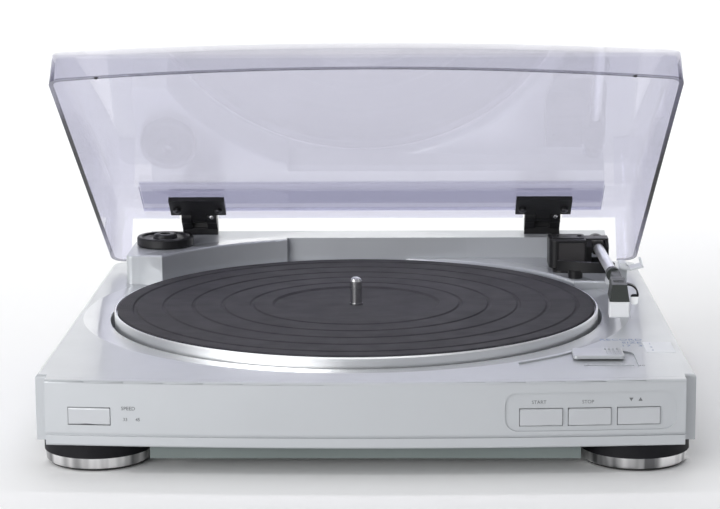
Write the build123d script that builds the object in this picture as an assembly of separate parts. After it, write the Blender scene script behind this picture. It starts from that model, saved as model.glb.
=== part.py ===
from build123d import *
import math
import os

os.makedirs("parts", exist_ok=True)

# Frame: X to the right, Y to the back, Z up, in millimetres. The origin is on the
# table, under the middle of the machine. The dust cover is drawn open, as it rests.

# Body
WIDTH = 360.0
FRONT_Y = -178.5
REAR_Y = 178.5
DECK_Z = 54.0
SKIRT_Z = 17.5
WALL = 2.6
DECK_THICK = 3.2
FRONT_BOW = 8.2
FASCIA_HALF = 173.5
FASCIA_DEPTH = 7.0
CORNER_Y = -158.5
REAR_CORNER_R = 10.0

# Platter and its well
PLATTER_X = -8.5
PLATTER_Y = 12.5
PLATTER_R = 149.0
MAT_R = 147.0
MAT_TOP_Z = DECK_Z + 5.0
MAT_THICK = 2.6
WELL_R = 151.5
WELL_FLOOR_Z = 42.0
WELL_FLOOR_THICK = 2.5
BEVEL_R = 168.0
BEVEL_DEPTH = 1.8
SPINDLE_R = 3.6
SPINDLE_STEP_R = 3.8
SPINDLE_STEP_Z = MAT_TOP_Z - 0.1
SPINDLE_TOP_Z = DECK_Z + 21.0
JOURNAL_R = 3.0
DRUM_R = 98.0
PLATTER_LOW_Z = 48.4
ACCESS_HOLE_R = 13.0

# Raised parts of the deck
PLATEAU_FRONT_Y = 164.5
PLATEAU_FRONT_Z = DECK_Z + 19.0
PLATEAU_REAR_Z = DECK_Z + 21.4
PLATEAU_LEFT = -154.0
PLATEAU_RIGHT = 159.0
WALL_ARC_R = 155.0
EAR_LEFT = -162.0
EAR_FRONT_Y = 97.5
EAR_REAR_Y = 155.0
EAR_RIGHT = -59.0
PLATFORM_Z = DECK_Z + 5.0
PLATFORM_FRONT_Y = 79.5
PLATFORM_LEFT = 10.0
ADAPTER_AT = (-140.0, 137.5)

# Dust cover, drawn closed and then turned open about its hinge
HINGE_Y = 167.5
HINGE_Z = 88.0
HINGES = {"left": -119.5, "right": 115.5}
HINGE_EAR = (5.3, 12.0)
HINGE_FOOT_Y = 171.5
KNUCKLE_HALF = 5.0
OPEN_DEG = 30.8
COVER_HALF = 178.0
COVER_WALL = 2.5
COVER_RIM_Z = DECK_Z + 0.8
COVER_CORNER_Y = -124.8
COVER_BOW = 15.0
COVER_REAR_Y = 167.9
COVER_TAPER = 2.5
COVER_FRONT_TOP_Z = 70.4
COVER_MIDDLE_TOP_Z = 86.3
COVER_CREST = (131.5, 97.0)
COVER_REAR_TOP_Z = 93.6
BAND_DEPTH = 5.4
BAND_FRONT_Y = 126.5
NOTCH_Z = 85.6
NOTCH_HALF = 165.0

# Tonearm: it is parked level with the sides, and rises a little towards the head
ARM_X = 150.3
ARM_Y = 129.5
ARM_Z = DECK_Z + 18.6
ARM_DIP = -1.6
TUBE_R = 3.4
HEAD_START = -126.0
HEAD_NECK = 14.0
HEAD_SIDE = 0.6
HEAD_YAW = -2.0
HEAD_LENGTH = 42.0
HEAD_HALF = 5.9
HEAD_TOP = 3.3
HEAD_LOW = -6.7
HEAD_CEILING = -3.0
HEAD_DRAFT = 8.5
YOKE_LEFT = -33.1
YOKE_SEAM = -8.5
YOKE_GAP = 4.6
YOKE_RIGHT = 6.6
YOKE_TOP = 7.2
LEVER_Z = 44.0
REST_X = (154.6, 159.4)
REST_Y = (22.0, 31.0)
REST_LEDGE_Z = 71.4
REST_TOP_Z = 81.8
REST_BASE_Z = DECK_Z - 1.8
CLIP_X = 157.0
CLIP_Z = 79.6
CLIP_OPEN_DEG = 165.0
CUE_R = 42.0
CUE_POST_R = 4.8
CUE_POST_DEG = 24.7
CUE_BAR_DEG = (-10.0, 42.0)
CUE_BAR_Z = (63.0, 69.7)

# Front controls: middle of each button, and its size
BUTTON_Z = 34.3
BUTTON_HEIGHT = 9.4
BUTTON_WIDTH = 22.8
BUTTONS = {"start_button": 95.0, "stop_button": 121.2, "cue_button": 147.7, "speed_button": -149.0}
BUTTON_GAP = 0.3
LEGEND_RECESS = (75.6, 167.9, 26.7, 48.0)
SELECTOR_X = 130.5
SELECTOR_Y = -112.7
SELECTOR_HALF = (14.3, 10.2)

# Feet and base
FOOT_X = 149.5
FOOT_Y = 133.5
FOOT_R = 30.25
PAN_FLOOR_Z = 7.5
PAN_HALF = 166.0
PAN_FRONT_Y = -161.0
PAN_REAR_Y = 165.0
PAN_WALL = 2.2
PAN_TOP_Z = SKIRT_Z + 2.5
SCREWS = [(-171.5, -75), (171.5, -75), (-171.5, 85), (171.5, 85), (-90, 171), (90, 171)]
GLAND_XS = (-60.0, 60.0)
GLAND_Z = 35.0

# Drive
PULLEY_DISTANCE = 118.0
PULLEY_ANGLE = 145.0
PULLEY_R = 5.0
BELT_Z = (48.8, 52.6)
BELT_GAP = 0.3
BELT_THICK = 0.8
GEAR_MODULE = 1.4
HUB_TEETH = 20
CAM_TEETH = 48
CAM_GAP_TEETH = 6
CAM_ANGLE = -35.0
CAM_Z = (43.6, 47.9)


def block(xs, ys, zs):
    size = [xs[1] - xs[0], ys[1] - ys[0], zs[1] - zs[0]]
    middle = [(xs[0] + xs[1]) / 2, (ys[0] + ys[1]) / 2, (zs[0] + zs[1]) / 2]
    return Pos(*middle) * Box(*size)


def disc(x, y, r, z0, z1):
    return Pos(x, y, (z0 + z1) / 2) * Cylinder(r, z1 - z0)


def rod_x(x0, x1, y, z, r):
    return Pos((x0 + x1) / 2, y, z) * Rot(0, 90, 0) * Cylinder(r, x1 - x0)


def rod_y(y0, y1, x, z, r):
    return Pos(x, (y0 + y1) / 2, z) * Rot(90, 0, 0) * Cylinder(r, y1 - y0)


def prism(points, z0, z1):
    face = make_face(Polyline(*points, close=True))
    return extrude(Pos(0, 0, z0) * face, z1 - z0)


def rounded(x0, x1, y0, y1, radius, z0, z1):
    face = Pos((x0 + x1) / 2, (y0 + y1) / 2, z0) * RectangleRounded(x1 - x0, y1 - y0, radius)
    return extrude(face, z1 - z0)


def profile_x(points, x0, x1):
    """A prism along X whose section is given as (y, z) points."""
    face = make_face(Polyline(*[(x0, y, z) for y, z in points], close=True))
    return extrude(face, x1 - x0, dir=(1, 0, 0))


def turned(points, x=0.0, y=0.0):
    """A solid of revolution about an upright axis, from (radius, z) points."""
    face = make_face(Polyline(*[(r, 0, z) for r, z in points], close=True))
    return Pos(x, y, 0) * revolve(face, Axis.Z)


def save(name, shape):
    export_step(shape, f"parts/{name}.step")


def front_y(x, depth=0.0):
    """Y of the bowed front at x, a given depth behind the surface."""
    radius = (FASCIA_HALF**2 + FRONT_BOW**2) / (2 * FRONT_BOW)
    return FRONT_Y + radius - math.sqrt(radius**2 - x**2) + depth


def bowed(near, far, half, z0, z1):
    """A slab that follows the bowed front, between two depths behind it."""
    with BuildSketch(Plane.XY.offset(z0)) as sketch:
        with BuildLine():
            a, b = front_y(half, near), front_y(half, far)
            ThreePointArc((-half, a), (0, FRONT_Y + near), (half, a))
            Line((half, a), (half, b))
            ThreePointArc((half, b), (0, FRONT_Y + far), (-half, b))
            Line((-half, b), (-half, a))
        make_face()
    return extrude(sketch.sketch, z1 - z0)


def edges_at(shape, test):
    return [edge for edge in shape.edges() if test(edge.center())]


# Plinth cover: deck, skirt, platter well, rear plateau and tonearm platform


def plinth_face(inset, z):
    half = WIDTH / 2 - inset
    step = FASCIA_HALF - inset
    rear = REAR_Y - inset
    corner = CORNER_Y + inset
    seam_end = front_y(FASCIA_HALF, FASCIA_DEPTH + inset)
    seam_middle = FRONT_Y + FASCIA_DEPTH + inset
    with BuildSketch(Plane.XY.offset(z)) as sketch:
        with BuildLine():
            Polyline((-step, seam_end), (-step, corner), (-half, corner), (-half, rear),
                     (half, rear), (half, corner), (step, corner), (step, seam_end))
            ThreePointArc((step, seam_end), (0, seam_middle), (-step, seam_end))
        make_face()
        rear_corners = [v for v in sketch.vertices() if v.Y > rear - 1]
        fillet(rear_corners, REAR_CORNER_R - inset)
    return sketch.sketch


def raised_forms(inset):
    """Plateau, left ear and tonearm platform, each inset for the hollow beneath it."""
    low = DECK_Z - DECK_THICK - 1
    front = PLATEAU_FRONT_Y + inset
    rear = REAR_Y - inset
    plateau = profile_x(
        [(front, low), (front, PLATEAU_FRONT_Z - inset), (rear, PLATEAU_REAR_Z - inset), (rear, low)],
        PLATEAU_LEFT + inset, PLATEAU_RIGHT - inset)
    well = disc(PLATTER_X, PLATTER_Y, WALL_ARC_R + inset, low - 1, PLATEAU_REAR_Z + 1)
    ear = rounded(PLATEAU_LEFT + inset, EAR_RIGHT - inset, EAR_FRONT_Y + inset,
                  PLATEAU_FRONT_Y + 6, 4 - inset, low, PLATEAU_FRONT_Z - inset)
    ear += rounded(EAR_LEFT + inset, EAR_RIGHT - 20, EAR_FRONT_Y + inset, EAR_REAR_Y - inset,
                   4 - inset, low, PLATEAU_FRONT_Z - inset)
    ear -= well
    platform = rounded(PLATFORM_LEFT + inset, PLATEAU_RIGHT - inset, PLATFORM_FRONT_Y + inset,
                       PLATEAU_FRONT_Y + 6, 8 - inset, low, PLATFORM_Z - inset) - well
    return plateau, ear, platform


def soften(shape, z, radius):
    """Rounds the edges that lie at height z."""
    return fillet(edges_at(shape, lambda c: abs(c.Z - z) < 0.01), radius)


def plinth_cover():
    slab = extrude(plinth_face(0, SKIRT_Z), DECK_Z - SKIRT_Z)
    outer_edges = edges_at(slab, lambda c: abs(c.Z - DECK_Z) < 0.01 and (abs(c.X) > 174 or c.Y > 170))
    slab = fillet(outer_edges, 2.0)
    bevel_width = BEVEL_R - WELL_R
    bevel = Pos(PLATTER_X, PLATTER_Y, DECK_Z - BEVEL_DEPTH / 2) * Cone(
        WELL_R - bevel_width, BEVEL_R + bevel_width, BEVEL_DEPTH * 3)
    slab -= bevel
    plateau, ear, platform = raised_forms(0)
    raised = plateau + soften(ear, PLATEAU_FRONT_Z, 1.2) + soften(platform, PLATFORM_Z, 1.5)
    body = slab + raised
    hollow = extrude(plinth_face(WALL, SKIRT_Z - 1), DECK_Z - DECK_THICK - SKIRT_Z + 1)
    for form in raised_forms(WALL):
        hollow += form
    floor = WELL_FLOOR_Z - WELL_FLOOR_THICK
    cup = disc(PLATTER_X, PLATTER_Y, WELL_R + 2.5, floor, DECK_Z - 1.5)
    hollow -= cup
    body = body - hollow
    body -= disc(PLATTER_X, PLATTER_Y, WELL_R, WELL_FLOOR_Z, PLATEAU_REAR_Z + 1)
    body = body + well_fittings() + screw_bosses() - openings_in_cover()
    return body


def well_fittings():
    """The cam gear's post, on the floor of the well, and the adapter's peg, on the ear."""
    x, y = cam_centre()
    post = disc(x, y, 3.0, WELL_FLOOR_Z - 1, WELL_FLOOR_Z + 8.2)
    collar = disc(x, y, 6.0, WELL_FLOOR_Z - 1, WELL_FLOOR_Z + 1.4)
    peg = disc(*ADAPTER_AT, 3.5, PLATEAU_FRONT_Z - 1, PLATEAU_FRONT_Z + 4.5)
    return post + collar + peg


def screw_bosses():
    bosses = None
    for x, y in SCREWS:
        top = PLATEAU_FRONT_Z - 1 if y > 160 else DECK_Z - DECK_THICK + 1
        boss = disc(x, y, 4.5, PAN_TOP_Z + 0.2, top)
        bosses = boss if bosses is None else bosses + boss
    return bosses


def openings_in_cover():
    low = SKIRT_Z - 1
    cut = disc(PLATTER_X, PLATTER_Y, 8.1, low, WELL_FLOOR_Z + 1)
    px, py = pulley_centre()
    cut += disc(px, py, 9.0, low + 15, WELL_FLOOR_Z + 1)
    cut += disc(ARM_X, ARM_Y, 5.0, DECK_Z - DECK_THICK - 2, PLATFORM_Z + 1)
    cut += disc(*cue_post(), CUE_POST_R + 0.05, DECK_Z - DECK_THICK - 2, PLATFORM_Z + 1)
    for x, y in SCREWS:
        cut += disc(x, y, 1.6, SKIRT_Z + 2, SKIRT_Z + 16)
    for x in BUTTONS.values():
        cut += block((x - 6, x + 6), (FRONT_Y, CORNER_Y), (BUTTON_Z - 5, BUTTON_Z + 5))
    for x in HINGES.values():
        cut += block((x - 12.2, x + 12.2), (HINGE_FOOT_Y - 0.2, REAR_Y + 1),
                     (PLATEAU_FRONT_Z - 0.6, PLATEAU_REAR_Z + 1))
    cut += block(REST_X, REST_Y, (REST_BASE_Z, DECK_Z + 1))
    for x in GLAND_XS:
        cut += rod_y(REAR_Y - 4, REAR_Y + 1, x, GLAND_Z, 6.0)
    recess = rounded(85, 151, -146.5, -101, 9, DECK_Z - 1.0, DECK_Z + 1)
    recess -= disc(PLATTER_X, PLATTER_Y, BEVEL_R + 3, DECK_Z - 2, DECK_Z + 2)
    slot = rounded(SELECTOR_X - 6, SELECTOR_X + 14, SELECTOR_Y - 2.2, SELECTOR_Y + 2.2, 2.1,
                   DECK_Z - DECK_THICK - 1, DECK_Z)
    line = rounded(121, 149, -134.6, -133, 0.7, DECK_Z - 1.8, DECK_Z)
    return cut + recess + slot + line


def pulley_centre():
    a = math.radians(PULLEY_ANGLE)
    return PLATTER_X + PULLEY_DISTANCE * math.cos(a), PLATTER_Y + PULLEY_DISTANCE * math.sin(a)


def cam_centre():
    a = math.radians(CAM_ANGLE)
    distance = GEAR_MODULE * (HUB_TEETH + CAM_TEETH) / 2
    return PLATTER_X + distance * math.cos(a), PLATTER_Y + distance * math.sin(a)


def cue_post():
    a = math.radians(CUE_POST_DEG)
    return ARM_X - CUE_R * math.sin(a), ARM_Y - CUE_R * math.cos(a)


# Fascia and buttons


def fascia():
    half = FASCIA_HALF - 0.3
    body = bowed(0, FASCIA_DEPTH - 0.2, half, SKIRT_Z, DECK_Z)
    front_top = edges_at(body, lambda c: abs(c.Z - DECK_Z) < 0.01 and c.Y < FRONT_Y + 2)
    body = fillet(front_top, 1.6)
    front_low = edges_at(body, lambda c: abs(c.Z - SKIRT_Z) < 0.01 and c.Y < FRONT_Y + 2)
    body = fillet(front_low, 1.2)
    body -= bowed(WALL, FASCIA_DEPTH + 2, half - WALL, SKIRT_Z + 2.4, DECK_Z - 2.4)
    body -= bowed(-1, 1.2, half + 1, 23.2, 24.8)
    x0, x1, z0, z1 = LEGEND_RECESS
    face = Plane.XZ * Pos((x0 + x1) / 2, (z0 + z1) / 2) * RectangleRounded(x1 - x0, z1 - z0, 7)
    recess = extrude(Pos(0, FRONT_Y - 2, 0) * face, -14)
    body -= recess & bowed(-1, 0.8, half, 20, 52)
    for x in BUTTONS.values():
        w, h = BUTTON_WIDTH / 2 + BUTTON_GAP, BUTTON_HEIGHT / 2 + BUTTON_GAP
        body -= block((x - w, x + w), (FRONT_Y - 1, front_y(x, 4.4)), (BUTTON_Z - h, BUTTON_Z + h))
    return body


def button(x):
    w, h = BUTTON_WIDTH / 2, BUTTON_HEIGHT / 2
    ys = (FRONT_Y - 1, CORNER_Y)
    cap = block((x - w, x + w), ys, (BUTTON_Z - h, BUTTON_Z + h))
    cap &= bowed(-0.4, WALL + 0.8, FASCIA_HALF, BUTTON_Z - h, BUTTON_Z + h)
    long_edges = edges_at(cap, lambda c: c.Y < front_y(x) + 1.2 and abs(c.Z - BUTTON_Z) > h - 0.1)
    cap = fillet(long_edges, 0.8)
    flange = block((x - w - 1, x + w + 1), ys, (BUTTON_Z - h - 1, BUTTON_Z + h + 1))
    flange &= bowed(WALL + 0.5, WALL + 1.3, FASCIA_HALF, BUTTON_Z - h - 1, BUTTON_Z + h + 1)
    stem = block((x - 3, x + 3), (front_y(x, WALL + 1), -158.0), (BUTTON_Z - 2, BUTTON_Z + 2))
    return cap + flange + stem


def control_board():
    """Upright board behind the three right-hand buttons, with a switch for each."""
    board = block((78, 165), (-151.6, -150.0), (PAN_TOP_Z, 46))
    for name in ("start_button", "stop_button", "cue_button"):
        x = BUTTONS[name]
        board += block((x - 3, x + 3), (-155.0, -151.5), (BUTTON_Z - 3, BUTTON_Z + 3))
        board += rod_y(-155.3, -154.9, x, BUTTON_Z, 1.7)
    return board


def speed_switch():
    x = BUTTONS["speed_button"]
    body = block((x - 6, x + 6), (-155.2, -140), (BUTTON_Z - 4, BUTTON_Z + 4))
    foot = block((x - 6, x + 6), (-143, -140), (PAN_TOP_Z, BUTTON_Z - 4))
    return body + foot


# Base pan and feet


def pan_face(inset, z):
    face = Pos(0, (PAN_FRONT_Y + PAN_REAR_Y) / 2, z) * RectangleRounded(
        2 * (PAN_HALF - inset), PAN_REAR_Y - PAN_FRONT_Y - 2 * inset, 8)
    reach = FOOT_R + 1.5 + inset
    for sx in (-1, 1):
        for sy in (-1, 1):
            face -= Pos(sx * FOOT_X, sy * FOOT_Y, z) * Circle(reach)
            side = Rectangle(2 * reach, 3 * reach)
            end = Rectangle(3 * reach, 2 * reach)
            face -= Pos(sx * (FOOT_X + reach), sy * (FOOT_Y + reach / 2), z) * side
            face -= Pos(sx * (FOOT_X + reach / 2), sy * (FOOT_Y + reach), z) * end
    return face


def base_pan():
    top = PAN_TOP_Z
    tray = extrude(pan_face(0, PAN_FLOOR_Z), top - PAN_FLOOR_Z)
    flange = extrude(plinth_face(WALL + 0.3, SKIRT_Z + 0.2), top - SKIRT_Z - 0.2)
    body = tray + flange
    body -= extrude(pan_face(PAN_WALL, PAN_FLOOR_Z + PAN_WALL), top)
    for x, y in SCREWS:
        body -= disc(x, y, 2.0, SKIRT_Z, top + 1)
    for x in range(-120, 121, 40):
        body -= rounded(x - 3, x + 3, -60, 60, 2.9, PAN_FLOOR_Z - 1, PAN_FLOOR_Z + PAN_WALL + 1)
    return body


def foot_parts(x, y):
    cup = turned([(0, 2.2), (26.5, 2.2), (26.5, 7.8), (FOOT_R, 7.8), (FOOT_R, SKIRT_Z - 0.8),
                  (FOOT_R - 0.8, SKIRT_Z), (24, SKIRT_Z), (24, SKIRT_Z + 0.2), (0, SKIRT_Z + 0.2)], x, y)
    band = turned([(26.6, 1.8), (28.6, 1.8), (29.4, 2.8), (29.7, 7.8), (26.6, 7.8)], x, y)
    pad = turned([(0, 0.8), (20, 0.8), (20, 0), (25.8, 0), (27.2, 0.5), (28.0, 1.8), (26.6, 1.8),
                  (26.6, 2.2), (0, 2.2)], x, y)
    return {"cup": cup, "band": band, "pad": pad}


def case_screws():
    group = None
    for x, y in SCREWS:
        screw = disc(x, y, 3.4, SKIRT_Z - 1.8, SKIRT_Z + 0.2) + disc(x, y, 1.5, SKIRT_Z, SKIRT_Z + 14)
        screw -= block((x - 2.4, x + 2.4), (y - 0.4, y + 0.4), (SKIRT_Z - 2, SKIRT_Z - 0.9))
        screw -= block((x - 0.4, x + 0.4), (y - 2.4, y + 2.4), (SKIRT_Z - 2, SKIRT_Z - 0.9))
        group = screw if group is None else group + screw
    return group


# Platter, spindle and drive


def platter():
    """Disc with a hub, the belt's drum and a rim beneath, and two holes to reach the belt."""
    bore = SPINDLE_STEP_R + 0.02
    low = PLATTER_LOW_Z
    top = MAT_TOP_Z - MAT_THICK
    rim_top = MAT_TOP_Z - 0.8
    under = top - 2.4
    body = turned([
        (bore, low), (13, low), (13, under - 2), (16, under), (DRUM_R - 3.5, under),
        (DRUM_R - 3.5, low), (DRUM_R, low), (DRUM_R, under), (PLATTER_R - 4.5, under),
        (PLATTER_R - 3, under - 1.5), (PLATTER_R - 3, low), (PLATTER_R - 0.6, low), (PLATTER_R, low + 0.8),
        (PLATTER_R, rim_top - 0.8), (PLATTER_R - 0.5, rim_top), (MAT_R + 0.9, rim_top),
        (MAT_R + 0.4, top), (bore, top)], PLATTER_X, PLATTER_Y)
    for side in (-1, 1):
        body -= disc(PLATTER_X + side * PULLEY_DISTANCE, PLATTER_Y, ACCESS_HOLE_R, under - 1, top + 1)
    return body


def slip_mat():
    """Rubber mat with a label recess, stepped rings and a raised rim."""
    top, low = MAT_TOP_Z, MAT_TOP_Z - MAT_THICK
    hole = SPINDLE_STEP_R + 0.4
    points = [(hole, low), (MAT_R, low), (MAT_R, top - 0.5), (MAT_R - 0.6, top)]
    for ring in (138.0, 120.0, 102.0, 84.0, 66.0):
        points += [(ring, top), (ring - 0.8, top - 0.7), (ring - 2.2, top - 0.7), (ring - 3.0, top)]
    points += [(52.0, top), (50.5, top - 1.1), (hole, top - 1.1)]
    return turned(points, PLATTER_X, PLATTER_Y)


def spindle():
    r, step, top = SPINDLE_R, SPINDLE_STEP_R, SPINDLE_TOP_Z
    return turned([(0, 20.2), (1.2, 20.2), (JOURNAL_R, 21.4), (JOURNAL_R, 43.4), (step, 43.4),
                   (step, SPINDLE_STEP_Z), (r, SPINDLE_STEP_Z), (r, top - 2.6), (r - 0.5, top - 1.1),
                   (r - 1.5, top - 0.2), (0, top)], PLATTER_X, PLATTER_Y)


def bearing():
    bore = JOURNAL_R + 0.04
    return turned([(0, 17), (8, 17), (8, WELL_FLOOR_Z), (14, WELL_FLOOR_Z), (14, WELL_FLOOR_Z + 0.6),
                   (9, WELL_FLOOR_Z + 1.2), (bore, WELL_FLOOR_Z + 1.2), (bore, 20), (0, 20)],
                  PLATTER_X, PLATTER_Y)


def gear(teeth, missing, bore, z0, z1):
    """Spur gear with straight-sided teeth; the missing teeth are centred on +X."""
    pitch = GEAR_MODULE * teeth / 2
    root, tip = pitch - 1.25 * GEAR_MODULE, pitch + GEAR_MODULE
    step = 360 / teeth
    blank = disc(0, 0, root, z0, z1)
    tooth = prism([(root - 0.6, -1.35), (pitch, -0.92), (tip, -0.42), (tip, 0.42), (pitch, 0.92),
                   (root - 0.6, 1.35)], z0, z1)
    first = (missing + 1) / 2 if missing else 0
    ring = [Rot(0, 0, (first + n) * step) * tooth for n in range(teeth - missing)]
    return blank.fuse(*ring) - disc(0, 0, bore, z0 - 1, z1 + 1)


def hub_gear():
    body = gear(HUB_TEETH, 0, SPINDLE_STEP_R + 0.02, 43.8, PLATTER_LOW_Z)
    return Pos(PLATTER_X, PLATTER_Y, 0) * body


def cam_gear():
    body = gear(CAM_TEETH, CAM_GAP_TEETH, 3.06, *CAM_Z)
    for n in range(6):
        body -= Rot(0, 0, 30 + 60 * n) * disc(19, 0, 6.5, 43, 49)
    x, y = cam_centre()
    return Pos(x, y, 0) * Rot(0, 0, CAM_ANGLE + 180) * body


def belt():
    low, high = BELT_Z
    loops = []
    for extra in (BELT_GAP + BELT_THICK, BELT_GAP):
        drum = Circle(DRUM_R + extra)
        pulley = Pos(PULLEY_DISTANCE, 0) * Circle(PULLEY_R + extra)
        loops.append(make_hull(drum.edges() + pulley.edges()))
    face = loops[0] - loops[1]
    return Pos(PLATTER_X, PLATTER_Y, low) * Rot(0, 0, PULLEY_ANGLE) * extrude(face, high - low)


def motor():
    x, y = pulley_centre()
    top = WELL_FLOOR_Z - WELL_FLOOR_THICK
    body = turned([(0, 13), (16, 13), (17.5, 14.5), (17.5, 34), (16, 35.2), (5, 35.2), (5, 37.4),
                   (0, 37.4)], x, y)
    body += rounded(x - 24, x + 24, y - 8, y + 8, 6, 34, 35.2)
    body -= disc(x, y, 1.04, 14.5, 40)
    for side in (-1, 1):
        body += disc(x + side * 19.5, y, 3, 35, top)
    return body


def motor_shaft():
    x, y = pulley_centre()
    return disc(x, y, 1.0, 15, 53.5)


def motor_pulley():
    x, y = pulley_centre()
    r = PULLEY_R
    return turned([(1.0, 43), (3.4, 43), (3.4, 46.6), (r + 1.4, 47), (r + 1.4, 47.6), (r, 48), (r, 52.8),
                   (r + 1.0, 53), (r + 1.0, 53.4), (1.0, 53.4)], x, y)


def power_board():
    board = block((30, 120), (40, 95), (12, 13.6))
    for x, y in ((36, 46), (114, 46), (36, 89), (114, 89)):
        board += disc(x, y, 3, PAN_FLOOR_Z + PAN_WALL, 12.2)
    for n in range(3):
        board += disc(45 + 14 * n, 60, 5, 13.5, 27)
    board += block((84, 112), (52, 62), (13.5, 22))
    return board


def transformer():
    core = block((-115, -73), (-70, -36), (PAN_FLOOR_Z + PAN_WALL, 33))
    coil = block((-107, -81), (-76, -30), (PAN_FLOOR_Z + PAN_WALL + 2, 31))
    return core + fillet(coil.edges().filter_by(Axis.Z), 5)


def cord_glands():
    group = None
    for x in GLAND_XS:
        ring = rod_y(REAR_Y - 6, REAR_Y - 0.2, x, GLAND_Z, 5.95)
        ring += rod_y(REAR_Y - 7.2, REAR_Y - WALL - 0.4, x, GLAND_Z, 8.0)
        ring -= rod_y(REAR_Y - 8, REAR_Y + 1, x, GLAND_Z, 3.0)
        group = ring if group is None else group + ring
    return group


# Dust cover and hinges


def cover_form(inset, z0):
    """Outer or inner form of the cover: a tapered plan cut by the top's profile."""
    half = COVER_HALF - inset
    corner = COVER_CORNER_Y + inset
    middle = COVER_CORNER_Y - COVER_BOW + inset
    rear = COVER_REAR_Y - inset
    with BuildSketch(Plane.XY.offset(z0)) as sketch:
        with BuildLine():
            ThreePointArc((-half, corner), (0, middle), (half, corner))
            Polyline((half, corner), (half, rear), (-half, rear), (-half, corner))
        make_face()
        fillet(sketch.vertices(), 9 - inset)
    plan = extrude(sketch.sketch, 60, taper=COVER_TAPER)
    crest_y, crest_z = COVER_CREST
    front = COVER_CORNER_Y - COVER_BOW + 1.5
    with BuildSketch(Plane.YZ.offset(-WIDTH)) as section:
        with BuildLine():
            ThreePointArc((front, COVER_FRONT_TOP_Z - inset), (0, COVER_MIDDLE_TOP_Z - inset),
                          (crest_y, crest_z - inset))
            Polyline((crest_y, crest_z - inset), (COVER_REAR_Y, COVER_REAR_TOP_Z - inset),
                     (COVER_REAR_Y + 5, COVER_REAR_TOP_Z - inset), (COVER_REAR_Y + 5, z0 - 10),
                     (front - 20, z0 - 10), (front - 20, COVER_FRONT_TOP_Z - inset - 3),
                     (front, COVER_FRONT_TOP_Z - inset))
        make_face()
    return plan & extrude(section.sketch, 2 * WIDTH)


def open_up(shape):
    """Turns a piece of the closed cover to the open rest pose."""
    return shape.rotate(Axis((0, HINGE_Y, HINGE_Z), (1, 0, 0)), -OPEN_DEG)


def dust_cover():
    shell = cover_form(0, COVER_RIM_Z) - cover_form(COVER_WALL, COVER_RIM_Z - 1)
    pad = block((-157, 155), (BAND_FRONT_Y, COVER_REAR_Y - 7), (80, 100))
    pad &= cover_form(COVER_WALL - 0.1, COVER_RIM_Z) - cover_form(BAND_DEPTH, COVER_RIM_Z - 1)
    shell += pad
    rear_wall = (COVER_REAR_Y - 8, COVER_REAR_Y + 4)
    shell -= block((-NOTCH_HALF, NOTCH_HALF), rear_wall, (COVER_RIM_Z - 2, NOTCH_Z))
    for x in HINGES.values():
        shell -= block((x - 13.5, x + 13.5), (COVER_REAR_Y - 6.6, COVER_REAR_Y + 4), (NOTCH_Z - 1, 98.0))
    return open_up(shell)


def lid_bumpers():
    group = None
    for side in (-1, 1):
        pad = disc(side * 150.0, COVER_CORNER_Y - 3.2, 1.1, COVER_RIM_Z - 0.6, COVER_RIM_Z)
        group = pad if group is None else group + pad
    return open_up(group)


def roof_z(y, depth):
    """Height of the closed cover's rear slope, a given depth below its surface."""
    crest_y, crest_z = COVER_CREST
    return crest_z + (y - crest_y) * (COVER_REAR_TOP_Z - crest_z) / (COVER_REAR_Y - crest_y) - depth


def hinge_leaf(x):
    """The cover's half of the hinge: a plate under the rear of its top, and a knuckle."""
    near, far, top, low = 140.0, 161.0, BAND_DEPTH + 0.06, BAND_DEPTH + 3.0
    plate = profile_x([(near, roof_z(near, top)), (far, roof_z(far, top)), (far, roof_z(far, low)),
                       (near, roof_z(near, low))], x - 18.8, x + 18.8)
    web = profile_x([(154, roof_z(154, top + 0.5)), (far, roof_z(far, top)), (HINGE_Y, 92.4), (HINGE_Y, 84),
                     (154, roof_z(154, low))], x - KNUCKLE_HALF, x + KNUCKLE_HALF)
    knuckle = rod_x(x - KNUCKLE_HALF, x + KNUCKLE_HALF, HINGE_Y, HINGE_Z, 4.6)
    body = plate + web + knuckle - rod_x(x - 9, x + 9, HINGE_Y, HINGE_Z, 2.05)
    for dx in (-14, 14):
        body += disc(x + dx, 153, 2.6, roof_z(153, low + 1.2), roof_z(153, low - 1))
    return open_up(body)


def hinge_block(x):
    """The plinth's half: a foot let into the plateau's rear edge, and two ears that hold the pin."""
    foot_top = 79.0
    rear = REAR_Y - 0.3
    front = HINGE_FOOT_Y
    body = block((x - 12, x + 12), (front, rear), (PLATEAU_FRONT_Z - 0.6, foot_top))
    ear = [(HINGE_Y - 4.9, HINGE_Z - 2.4), (front, foot_top - 1), (rear, foot_top - 1), (176, 87),
           (HINGE_Y + 5.3, HINGE_Z + 1)]
    for e in (-1, 1):
        inner, outer = sorted((x + e * HINGE_EAR[0], x + e * HINGE_EAR[1]))
        body += rod_x(inner, outer, HINGE_Y, HINGE_Z, 5.4)
        body += profile_x(ear, inner, outer)
    body += profile_x([(173.5, foot_top - 1), (rear, foot_top - 1), (176, 87), (174.2, 87)], x - 12, x + 12)
    return body - rod_x(x - 13, x + 13, HINGE_Y, HINGE_Z, 2.03)


def hinge_pin(x):
    pin = rod_x(x - 12.4, x + 12.4, HINGE_Y, HINGE_Z, 2.0)
    return fillet(edges_at(pin, lambda c: abs(abs(c.X - x) - 12.4) < 0.01), 0.6)


# Tonearm, drawn along -Y from its pivot and then set to its parked angle


def park(shape):
    """Places a piece drawn about the pivot."""
    return Pos(ARM_X, ARM_Y, ARM_Z) * shape


def dip(shape):
    """As park, for pieces that also tilt about the level pins."""
    return park(Rot(ARM_DIP, 0, 0) * shape)


def at_head(shape):
    """Places a piece drawn from the tube's end: the head is level and turned inwards."""
    return dip(Pos(HEAD_SIDE, HEAD_START, 0) * Rot(-ARM_DIP, 0, HEAD_YAW) * shape)


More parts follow.
